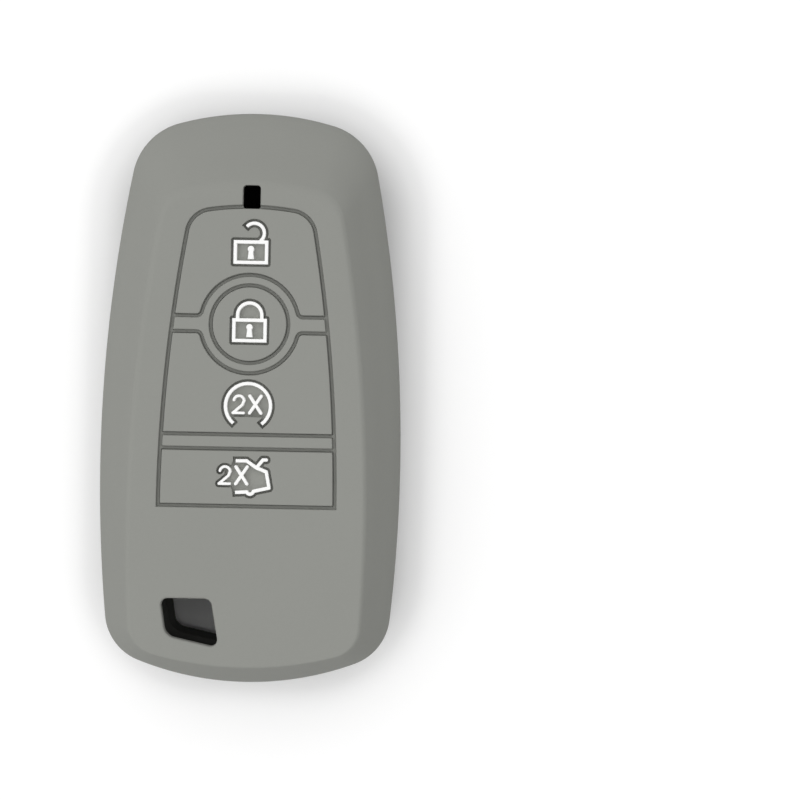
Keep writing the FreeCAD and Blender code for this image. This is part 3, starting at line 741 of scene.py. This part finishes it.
def finished_piece(name, meshes, material, body, node, inside=(), cutter=None):
    """Weld parts of one piece, scale it to metres and let it stand for its solid."""
    mesh = welded(name, meshes, inside)
    if cutter:
        mesh = cut_away(mesh, welded(name + "_cutter", cutter))
        mesh.name = name
    mesh.transform(Matrix.Scale(MM, 4))
    mesh.materials.clear()
    mesh.materials.append(material)
    mesh.shade_smooth()
    mesh.set_sharp_from_angle(angle=math.radians(SHARP_ANGLE))
    piece = placed_object(name, mesh)
    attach(piece, body)
    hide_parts(node)


# The skin


def smooth_run(points, steps):
    """A smooth curve through points, with an even number of steps in each span."""
    points = np.array(points, dtype=float)
    spans = np.diff(points, axis=0)
    lengths = np.linalg.norm(spans, axis=1)[:, None]
    slopes = spans / lengths
    inner = (slopes[:-1] * lengths[1:] + slopes[1:] * lengths[:-1]) / (lengths[:-1] + lengths[1:])
    tangents = np.vstack([slopes[:1], inner, slopes[-1:]])
    share = (np.arange(steps) / steps)[:, None]
    curve = []
    for number, length in enumerate(lengths):
        start, end = points[number], points[number + 1]
        ease = 3 * share ** 2 - 2 * share ** 3
        leave = share * (1 - share) ** 2 * length * tangents[number]
        arrive = -share ** 2 * (1 - share) * length * tangents[number + 1]
        curve.append(start + (end - start) * ease + leave + arrive)
    return np.vstack([*curve, points[-1:]])


def both_halves(profile):
    """A half profile, mirrored to run from the back panel over the rim to the front panel."""
    return [(share, -rise) for share, rise in profile[:0:-1]] + list(profile)


def on_strip(grid, places):
    """Points of a strip, given as rows of columns, at broken column and row numbers."""
    columns, rows = places[:, 0], places[:, 1]
    left = np.floor(columns).astype(int)
    low = np.clip(np.floor(rows).astype(int), 0, len(grid) - 2)
    across, up = (columns - left)[:, None], (rows - low)[:, None]
    count = grid.shape[1]
    ends = [grid[row, left % count] * (1 - across) + grid[row, (left + 1) % count] * across
            for row in (low, low + 1)]
    return ends[0] * (1 - up) + ends[1] * up


def chin_places(grid, loop, columns):
    """Column and row numbers of the points of the chin end that lie at given X and Z."""
    levels = grid[:, 0, 2]
    places = []
    for x, z in loop:
        row = float(np.interp(z, levels, np.arange(len(levels))))
        spots = np.column_stack([columns, np.full(len(columns), row)])
        column = float(np.interp(x, on_strip(grid, spots)[:, 0], columns))
        places.append((column, row))
    return np.array(places)


def strip_with_mouth(base, reach, rows, opening, *others):
    """A strip around the cover with an opening in its chin end.

    Gives its parts, and the points of the opening and of other loops on the strip.
    """
    grid = np.array([at_level(base + reach * share, level) for share, level in rows])
    count = len(base)
    levels = grid[:, 0, 2]
    low = int(np.searchsorted(levels, MOUTH_LOW - MOUTH_ROOM)) - 1
    high = int(np.searchsorted(levels, MOUTH_TOP + MOUTH_ROOM))
    chin_middle = int(np.argmin(base[:, 1] + abs(base[:, 0])))
    nearest = abs(grid[low:high + 1, :, 0]).min(axis=0)
    wide = MOUTH_HALF_WIDTH + MOUTH_ROOM
    half = next(step for step in range(count) if nearest[(chin_middle + step) % count] > wide)
    columns = np.arange(chin_middle - half, chin_middle + half + 1)
    places = chin_places(grid, opening, columns)
    block = [(column, low) for column in columns[:-1]]
    block += [(columns[-1], row) for row in range(low, high)]
    block += [(column, high) for column in columns[:0:-1]]
    block += [(columns[0], row) for row in range(high, low, -1)]
    patch = panel([np.array(block, dtype=float), places], 0)
    flat = np.array([vertex.co[:2] for vertex in patch.vertices], dtype=float)
    patch.vertices.foreach_set("co", on_strip(grid, flat).ravel())
    rest = np.arange(columns[-1], columns[0] + count + 1) % count
    rows = [tuple(row) for row in rows]
    outline, outward = at_level(base), at_level(reach)
    return [
        wall_along(outline, outward, rows[:low + 1]),
        wall_along(outline, outward, rows[high:]),
        wall_along(outline[rest], outward[rest], rows[low:high + 1], closed=False),
        patch,
    ], [on_strip(grid, places), *(on_strip(grid, chin_places(grid, loop, columns)) for loop in others)]


def make_skin(lines, pads):
    """The moulded skin: outer strip, pocket strip, faces, grooves and windows."""
    # Parts listed as inside lie on the pocket side and are painted darker as shade
    parts, inside = [], []
    rim = shell_outline(HALF_WIDTH, HALF_LENGTH, -HALF_LENGTH, RIM, RIM_CORNERS)
    panel_chin = PANEL_CHIN_INSET - HALF_LENGTH
    ridge, pocket_end = (
        shell_outline(PANEL_HALF_WIDTH, HALF_LENGTH - inset, panel_chin, PANEL, PANEL_CORNERS)
        for inset in (PANEL_TOP_INSET, POCKET_TOP_INSET))
    side_inset = HALF_WIDTH - PANEL_HALF_WIDTH
    profile = np.array(both_halves(SHELL_PROFILE)) * (side_inset, MID)
    shell_rows = smooth_run(profile, PROFILE_STEPS) / (side_inset, 1) + (0, MID)
    pocket_rim = grown(rim, -WALL)
    pocket_ridge = grown(pocket_end, -WALL * RIDGE_INSET_SHARE)
    pocket_profile = np.array(both_halves(POCKET_PROFILE)) * (1, MID - WALL) + (0, MID)
    spots = np.arange(len(pocket_profile))
    finer = np.linspace(0, spots[-1], spots[-1] * PROFILE_STEPS + 1)
    pocket_rows = np.column_stack([np.interp(finer, spots, pocket_profile[:, axis]) for axis in (0, 1)])

    # Mouth in the chin end, with a soft lip
    corners = rectangle((0, (MOUTH_LOW + MOUTH_TOP) / 2), (2 * MOUTH_HALF_WIDTH, MOUTH_TOP - MOUTH_LOW))
    mouth = spaced(rounded_polygon(corners, MOUTH_CORNER), MOUTH_SPACING)
    lip = rolled_lip(0, 0, MOUTH_LIP, 1)
    lip_reach = lip[0][0]
    outer, (lip_line, edge_line) = strip_with_mouth(
        rim, ridge - rim, shell_rows, grown(mouth, lip_reach), mouth)
    inner, (inner_line,) = strip_with_mouth(pocket_rim, pocket_ridge - pocket_rim, pocket_rows, mouth)
    parts += outer
    inside += inner
    parts.append(wall_along(edge_line, (lip_line - edge_line) / lip_reach, lip, upward=(0, -1, 0)))
    sunk = edge_line + (0, MOUTH_LIP, 0)
    parts.append(wall_along(sunk, inner_line - sunk, [(0, 0), (1, 0)]))

    # Front face with the keypad grooves
    face_edge = rim + (ridge - rim) * shell_rows[-1][0]
    key_window = rounded_polygon(KEY_WINDOW, KEY_WINDOW_CORNERS)
    frame_lip = rolled_lip(GROOVE_HALF, THICKNESS, GROOVE_LIP, 1)
    island_lip = rolled_lip(-GROOVE_HALF, THICKNESS, GROOVE_LIP, -1)
    window_lip = rolled_lip(0, THICKNESS, KEY_WINDOW_LIP, 1)
    walls = [(lines[name], frame_lip, GROOVE_FOOT) for name in ("frame", "lock")]
    walls += [(lines[name], island_lip, -GROOVE_FOOT) for name in ("band", "strip")]
    face_loops = [face_edge, grown(key_window, window_lip[0][0])]
    floor_loops = []
    for loop, lip, foot in walls:
        parts.append(wall(loop, [*lip, (foot, GROOVE_FLOOR)]))
        face_loops.append(grown(loop, lip[0][0]))
        floor_loops.append(grown(loop, foot))
    parts.append(panel(face_loops, THICKNESS))

    # Pad holes, with room behind the skin for the webs
    holes, rooms = ([grown(lines[name], distance) for name in pads] for distance in (PAD_HOLE, WEB_ROOM))
    parts.append(panel(floor_loops + holes, GROOVE_FLOOR))
    inside.append(panel(rooms + holes, LEDGE))
    parts += [wall(hole, [(0, GROOVE_FLOOR), (0, LEDGE)]) for hole in holes]
    inside += [wall(room, [(0, LEDGE), (0, INSIDE_FRONT)]) for room in rooms]
    inside.append(panel([pocket_ridge, key_window, *rooms], INSIDE_FRONT))
    parts.append(wall(key_window, [*window_lip, (0, INSIDE_FRONT)]))

    # Back face with the beaded oval window
    opening = oval((0, OVAL_PLACE), OVAL_HALF_WIDTH, OVAL_HALF_LENGTH, ROUND_POINTS * 2)
    bead_radius = BEAD_WIDTH / 2
    outer_edge = BEAD_WIDTH + BEAD_GROOVE_WIDTH
    bead_rows = rolled_lip(outer_edge, 0, BEAD_GROOVE_LIP, 1, down=1)
    bead_rows.append((outer_edge - BEAD_GROOVE_DRAFT, BEAD_GROOVE_DEPTH))
    bead_rows.append((BEAD_WIDTH + BEAD_GROOVE_DRAFT, BEAD_GROOVE_DEPTH))
    for step in range(BEAD_STEPS + 1):
        turn = math.pi * step / BEAD_STEPS
        bead_rows.append((bead_radius * (1 + math.cos(turn)), bead_radius * (1 - math.sin(turn))))
    parts.append(wall(opening, [*bead_rows, (0, INSIDE_BACK)]))
    back_lip = rolled_lip(0, 0, KEY_WINDOW_LIP, 1, down=1)
    bevel = [(0, INSIDE_BACK - KEY_WINDOW_BEVEL), (KEY_WINDOW_BEVEL, INSIDE_BACK)]
    parts.append(wall(key_window, [*back_lip, bevel[0]]))
    inside.append(wall(key_window, bevel))
    back_loops = [face_edge, grown(opening, bead_rows[0][0]), grown(key_window, back_lip[0][0])]
    parts.append(panel(back_loops, 0))
    inside.append(panel([pocket_ridge, grown(key_window, KEY_WINDOW_BEVEL), opening], INSIDE_BACK))
    finished_piece("moulded_skin", parts, GREY_SILICONE, "cover", "cover_skin",
                   inside, slot_cutter(SLOT_LOW))


def slot_cutter(low_end):
    """A plug of the light slot's shape, flared by 45 degrees at the face to break its edge."""
    corners = rectangle((0, (SLOT_TOP + low_end) / 2), (2 * SLOT_HALF_WIDTH, SLOT_TOP - low_end))
    slot = rounded_polygon(corners, SLOT_CORNER)
    low, high = INSIDE_FRONT - WALL, THICKNESS + SLOT_PLUG_RISE
    flare = SLOT_FLARE + SLOT_PLUG_RISE
    rows = [(0, low), (0, THICKNESS - SLOT_FLARE), (flare, high)]
    return [wall(slot, rows), panel([slot], low), panel([grown(slot, flare)], high)]


# Marks, drawn with a pen


def turn_points(centre, radius, angles):
    """Points along an arc between two angles in degrees."""
    return round_points(centre, radius, np.radians(np.linspace(*angles, ARC_POINTS)))


def arc_through(one, two, three):
    """Points along the arc through three points."""
    a, b, c = (complex(*point) for point in (one, two, three))
    ratio = (c - a) / (b - a)
    centre = a + (b - a) * (ratio - abs(ratio) ** 2) / (ratio - ratio.conjugate())
    middle = (centre.real, centre.imag)
    radius = abs(a - centre)
    turns = [math.degrees(math.atan2((p - centre).imag, (p - centre).real)) for p in (a, c)]
    sweep = (turns[1] - turns[0]) % 360
    clockwise = ratio.imag < 0
    return turn_points(middle, radius, (turns[0], turns[0] + sweep - 360 * clockwise))


def ribbon(points, width):
    """The area along a smooth run of points, with square ends."""
    points = np.array(points, dtype=float)
    ahead = unit(np.diff(points, axis=0))
    normals = np.stack([-ahead[:, 1], ahead[:, 0]], axis=1)
    before, after = np.vstack([normals[:1], normals]), np.vstack([normals, normals[-1:]])
    mitre = (before + after) / (1 + (before * after).sum(axis=1))[:, None] * (width / 2)
    return np.vstack([points - mitre, (points + mitre)[::-1]])


def dot(point, width):
    """The round area of a pen set down at a point."""
    return oval(point, width / 2, width / 2, DOT_POINTS)


def pen_curve(points, width):
    """A curved pen stroke with round ends."""
    return [ribbon(points, width), dot(points[0], width), dot(points[-1], width)]


def pen_lines(points, width, square_start=False):
    """Straight pen strokes with round joints and ends. The first end may be square."""
    dots = [dot(point, width) for point in points]
    return dots[int(square_start):] + [ribbon(pair, width) for pair in zip(points, points[1:])]


def lengthened(points, distance):
    """A run of points with both ends moved outwards."""
    ends = [points[end] + unit(points[end] - points[near]) * distance for end, near in ((0, 1), (-1, -2))]
    return np.vstack([ends[:1], points[1:-1], ends[1:]])


def spread(centre, size, shares):
    """Points at shares of one size, or of a width and a length, from a centre."""
    return np.array(centre) + np.array(shares) * np.array(size)


def padlock_frame(place):
    """The four bars of a padlock's body."""
    width, length = PADLOCK_SIZE
    across, along = (width - MARK_STROKE) / 2, (length - MARK_STROKE) / 2
    bars = [rectangle((0, place + way * along), (width, MARK_STROKE)) for way in (-1, 1)]
    return bars + [rectangle((way * across, place), (MARK_STROKE, length)) for way in (-1, 1)]


def padlock_floor(place):
    """The recess around a padlock's body."""
    around = np.array(PADLOCK_SIZE) + 2 * MARK_MARGIN
    return rounded_polygon(rectangle((0, place), around), MARK_MARGIN)


def keyhole(place):
    """A keyhole: a round head over a foot that flares."""
    neck, base = KEYHOLE["neck"] / 2, KEYHOLE["base"] / 2
    head = place + KEYHOLE["rise"]
    tilt = math.degrees(math.acos(neck / KEYHOLE["radius"]))
    bow = turn_points((0, head), KEYHOLE["radius"], (-tilt, 180 + tilt))
    low = place - KEYHOLE["drop"]
    return [np.vstack([bow, [(-base, low), (base, low)]])]


def unlock_marks():
    """An open padlock: the polygons of each fill, and those of the recess."""
    hook = turn_points(HOOK_CENTRE, HOOK_RADIUS, HOOK_ANGLES)
    bow = [ribbon(hook, MARK_STROKE), dot(hook[0], MARK_STROKE)]
    fills = {
        "unlock_padlock": padlock_frame(UNLOCK_MARK_PLACE) + bow,
        "unlock_keyhole": keyhole(UNLOCK_MARK_PLACE),
    }
    floor = [padlock_floor(UNLOCK_MARK_PLACE), ribbon(lengthened(hook, MARK_MARGIN), MARK_REACH)]
    return fills, floor


def lock_marks():
    """A closed padlock, fills and recess."""
    centre = (0, LOCK_MARK_PLACE + SHACKLE_RISE)
    foot = LOCK_MARK_PLACE + (PADLOCK_SIZE[1] - MARK_STROKE) / 2
    bow = turn_points(centre, SHACKLE_RADIUS, (0, 180))
    run = np.vstack([[(SHACKLE_RADIUS, foot)], bow, [(-SHACKLE_RADIUS, foot)]])
    fills = {
        "lock_padlock": padlock_frame(LOCK_MARK_PLACE) + [ribbon(run, MARK_STROKE)],
        "lock_keyhole": keyhole(LOCK_MARK_PLACE),
    }
    floor = [padlock_floor(LOCK_MARK_PLACE), run, ribbon(run, MARK_REACH)]
    return fills, floor


def twice_strokes(centre, widths):
    """Pen strokes of a numeral two, and of the multiplication sign beside it, each with its width."""
    two, times = widths
    left, right = ((centre[0] + way * NUMERAL_SIDE, centre[1]) for way in (-1, 1))
    bend = arc_through(*spread(left, NUMERAL_SIZE, NUMERAL_BEND))
    leg = np.vstack([bend[-1:], spread(left, NUMERAL_SIZE, NUMERAL_LEG)])
    bars = [pen_lines(spread(right, NUMERAL_SIZE, bar), times) for bar in TIMES_BARS]
    return pen_curve(bend, two) + pen_lines(leg, two), bars[0] + bars[1]


def start_marks():
    """A numeral and its sign in an open ring, fills and recess."""
    centre = (0, START_MARK_PLACE)
    ring = turn_points(centre, START_RING_RADIUS, START_RING_ANGLES)
    sill = spread(centre, START_RING_RADIUS, START_SILL)
    two, times = twice_strokes(START_NUMERAL_CENTRE, TWICE_STROKES)
    fills = {"start_ring": [ribbon(ring, MARK_STROKE)], "start_two": two, "start_times": times}
    around = ribbon(lengthened(ring, MARK_MARGIN), MARK_REACH)
    return fills, [np.vstack([ring, sill]), around, *pen_lines(sill, MARK_REACH)]


def boot_marks():
    """A numeral and its sign beside a car's boot with its lid up, fills and recess."""
    roof, bump, lid, tail = (spread(BOOT_CENTRE, BOOT_SIZE, shares)
                             for shares in (BOOT_ROOF, BOOT_BUMP, BOOT_LID, [BOOT_TAIL]))
    bend = arc_through(*bump)
    two, times = twice_strokes(BOOT_NUMERAL_CENTRE, TWICE_STROKES)
    outline = pen_curve(bend, MARK_STROKE) + pen_lines(lid, MARK_STROKE)
    # The recess closes between the open ends of the outline, beside the numeral
    inner = rectangle(BOOT_NUMERAL_CENTRE, (2 * NUMERAL_SIDE, NUMERAL_SIZE[1]))
    flush = np.vstack([tail, inner[[0, 3]] + (NUMERAL_SIDE, 0), roof[:1]]) - (MARK_MARGIN, 0)
    floor = [inner, np.vstack([roof, bend, flush])[::-1]]
    floor += pen_curve(bend, MARK_REACH) + pen_lines(lid, MARK_REACH)
    for strokes in twice_strokes(BOOT_NUMERAL_CENTRE, TWICE_REACH):
        floor += strokes
    for run in (np.vstack([roof, bend[:1]]), np.vstack([tail, bend[-1:]])):
        outline += pen_lines(run, MARK_STROKE, square_start=True)
        floor += pen_lines(lengthened(run, MARK_MARGIN), MARK_REACH, square_start=True)
    return {"boot_outline": outline, "boot_two": two, "boot_times": times}, floor


def mark_well(polygons, lip):
    """Walls around the area of polygons, its low end, and the loops where its lip meets the top."""
    loops = [unfolded(loop, lip[0][0]) for loop in united(polygons)]
    walls = [wall(loop, [*lip, (0, MARK_FLOOR)]) for loop in loops]
    return walls, panel(loops, MARK_FLOOR), [grown(loop, lip[0][0]) for loop in loops]


def make_pad(pad, line, marks):
    """One push pad with the recess of its mark, and the fills that stand in it."""
    fills, recess = marks
    body = pad + "_button"
    lip = rolled_lip(-GROOVE_HALF, THICKNESS, GROOVE_LIP, -1)
    rows = [*lip, (-GROOVE_FOOT, GROOVE_FLOOR), (-GROOVE_FOOT, WEB_TOP)]
    rows += [(WEB_EDGE, WEB_TOP), (WEB_EDGE, INSIDE_FRONT)]
    walls, floor, edges = mark_well(recess, rolled_lip(0, THICKNESS, RECESS_LIP, 1))
    parts = [wall(line, rows), floor, panel([grown(line, lip[0][0]), *edges], THICKNESS), *walls]
    # The underside lies in the pocket and gets painted shade
    underside = [panel([grown(line, WEB_EDGE)], INSIDE_FRONT)]
    cutter = slot_cutter(FRAME_TOP - GROOVE_HALF + SLOT_PAD_GAP) if pad == "unlock" else None
    finished_piece(pad + "_push_pad", parts, PAD_SILICONE, body, pad + "_pad",
                   underside, cutter)
    for node, polygons in fills.items():
        walls, foot, edges = mark_well(polygons, rolled_lip(0, MARK_TOP, MARK_LIP, -1))
        parts = [*walls, panel(edges, MARK_TOP), foot]
        finished_piece(node + "_fill", parts, WHITE_SILICONE, body, node)


KEYPAD = keypad_lines()
MARKS = {"unlock": unlock_marks, "lock": lock_marks, "start": start_marks, "boot": boot_marks}
make_skin(KEYPAD, list(MARKS))
for pad_name, draw_marks in MARKS.items():
    make_pad(pad_name, KEYPAD[pad_name], draw_marks())


# Floor, light and camera


def plain_rays(tree):
    """1 on the rays that show the backdrop itself: seen straight, mirrored or through glass."""
    path = add_node(tree, "ShaderNodeLightPath")
    mirrored = add_node(tree, "ShaderNodeMath", {
        0: path["Is Glossy Ray"], 1: path["Is Transmission Ray"]}, operation="MAXIMUM")[0]
    return add_node(tree, "ShaderNodeMath", {0: path["Is Camera Ray"], 1: mirrored}, operation="MAXIMUM")[0]


def make_floor():
    """A sheet of matt white card, lifted to plain white away from the cover, with a painted contact shadow
    where the lift fades near the cover and under it.
    """
    mesh = bpy.data.meshes.new("card_floor")
    corners = at_level(rectangle((0, 0), (FLOOR_SIZE, FLOOR_SIZE)))
    mesh.from_pydata(corners.tolist(), [], [(0, 1, 2, 3)])
    card = bpy.data.materials.new("matt_white_card")
    tree = bare_tree(card)
    spot = add_node(tree, "ShaderNodeTexCoord")["Object"]
    core = ((HALF_WIDTH - CONTACT_CORNER) * MM, (HALF_LENGTH - CONTACT_CORNER) * MM, 0)
    middle = (0, CONTACT_SHIFT * MM, 0)
    steps = [("SUBTRACT", {1: middle}), ("ABSOLUTE", {})]
    steps += [("SUBTRACT", {1: core}), ("MAXIMUM", {1: (0, 0, 0)})]
    for operation, other in steps:
        spot = add_node(tree, "ShaderNodeVectorMath", {0: spot, **other}, operation=operation)[0]
    away = add_node(tree, "ShaderNodeVectorMath", {0: spot}, operation="LENGTH")["Value"]
    first, last = PAINTED_CONTACT_SHADOW[0][0], PAINTED_CONTACT_SHADOW[-1][0]
    stops = [((distance - first) / (last - first), share) for distance, share in PAINTED_CONTACT_SHADOW]
    reach = add_node(tree, "ShaderNodeMapRange", {
        "Value": away, "From Min": (CONTACT_CORNER + first) * MM, "From Max": (CONTACT_CORNER + last) * MM})
    # Painted contact shadow: the lift fades towards the cover and is gone under it
    clear = add_node(tree, "ShaderNodeValToRGB", {"Fac": reach[0]}, stops, interpolation="B_SPLINE")
    lift = plain_rays(tree)
    for factor in (FLOOR_LIFT, clear["Color"]):
        lift = add_node(tree, "ShaderNodeMath", {0: lift, 1: factor}, operation="MULTIPLY")[0]
    shader = add_node(tree, "ShaderNodeBsdfPrincipled", {
        "Base Color": linear(FLOOR_COLOUR), "Roughness": FLOOR_ROUGHNESS, "Specular IOR Level": 0.0,
        "Emission Color": linear(PLAIN_WHITE), "Emission Strength": lift})
    add_node(tree, "ShaderNodeOutputMaterial", {"Surface": shader[0]})
    mesh.materials.append(card)
    floor = placed_object("card_floor", mesh)


def make_light():
    """A white light tent, brighter on the left and dim around the hole for the camera."""
    world = bpy.data.worlds.new("light_tent")
    bpy.context.scene.world = world
    tree = bare_tree(world)
    way = add_node(tree, "ShaderNodeTexCoord")["Generated"]
    height = add_node(tree, "ShaderNodeSeparateXYZ", {0: way})["Z"]
    bright = add_node(tree, "ShaderNodeValToRGB", {"Fac": height}, TENT_HEIGHTS)["Color"]
    lean = add_node(tree, "ShaderNodeVectorMath", {
        0: way, 1: (TENT_TO_RIGHT, TENT_TO_SLOT_END, 0)}, operation="DOT_PRODUCT")["Value"]
    strength = add_node(tree, "ShaderNodeMath", {
        0: lean, 1: TENT_STRENGTH, 2: TENT_STRENGTH}, operation="MULTIPLY_ADD")[0]
    tent = add_node(tree, "ShaderNodeBackground", {"Color": bright, "Strength": strength})
    seen = add_node(tree, "ShaderNodeBackground", {"Color": linear(PLAIN_WHITE), "Strength": 1.0})
    mix = add_node(tree, "ShaderNodeMixShader", {0: plain_rays(tree), 1: tent[0], 2: seen[0]})
    add_node(tree, "ShaderNodeOutputWorld", {"Surface": mix[0]})


def make_camera():
    """Straight above the table, turned so that the cover lies as it was photographed."""
    data = bpy.data.cameras.new("camera")
    data.sensor_width = SENSOR
    data.lens = SENSOR * FOCAL_PIXELS / PHOTO_SIDE
    pixel = (CAMERA_HEIGHT - MID) / FOCAL_PIXELS
    across = (PHOTO_SIDE / 2 - COVER_PIXEL[0]) * pixel
    along = (COVER_PIXEL[1] - PHOTO_SIDE / 2) * pixel
    tilt = math.radians(COVER_TILT)
    camera = placed_object("camera", data)
    camera.rotation_euler = (0, 0, tilt)
    camera.location = (
        (across * math.cos(tilt) - along * math.sin(tilt)) * MM,
        (across * math.sin(tilt) + along * math.cos(tilt)) * MM,
        CAMERA_HEIGHT * MM,
    )
    bpy.context.scene.camera = camera


make_floor()
make_light()
make_camera()
bpy.context.scene.view_settings.view_transform = "Standard"
